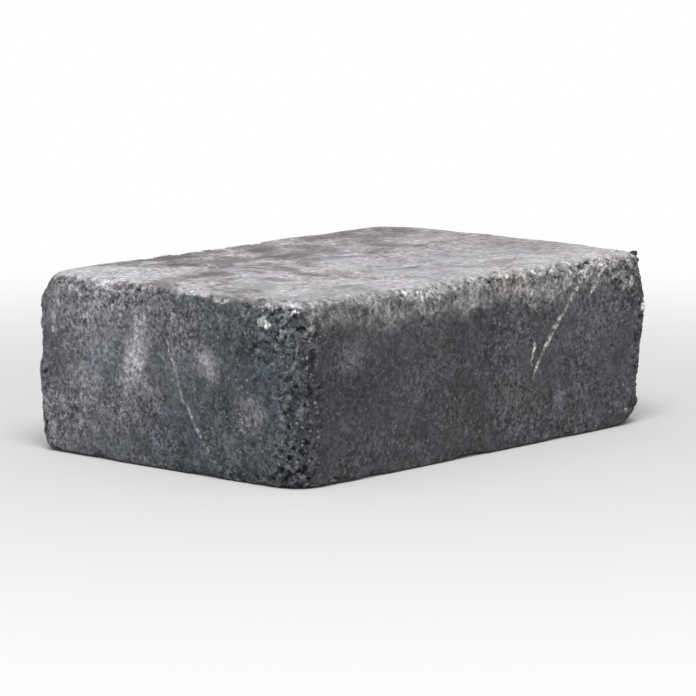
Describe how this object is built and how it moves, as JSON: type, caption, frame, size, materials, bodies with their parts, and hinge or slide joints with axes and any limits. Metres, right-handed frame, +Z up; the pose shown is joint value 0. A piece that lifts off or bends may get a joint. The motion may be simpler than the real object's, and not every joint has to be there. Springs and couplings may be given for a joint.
{
  "type": "stacking block",
  "caption": "Solid tumbled concrete block with worn arrises and knocked corners, laid dry in courses for low garden walls, steps and raised edging.",
  "frame": {"origin": "middle of the bed, the flat underside that the block rests on", "axes": "+X along the length, +Y along the width, +Z up, with the block lying on its bed"},
  "size_m": [0.3, 0.2, 0.1],
  "materials": {
    "concrete": "matte"
  },
  "bodies": {
    "root": {"stacking_block": "concrete"}
  },
  "joints": []
}
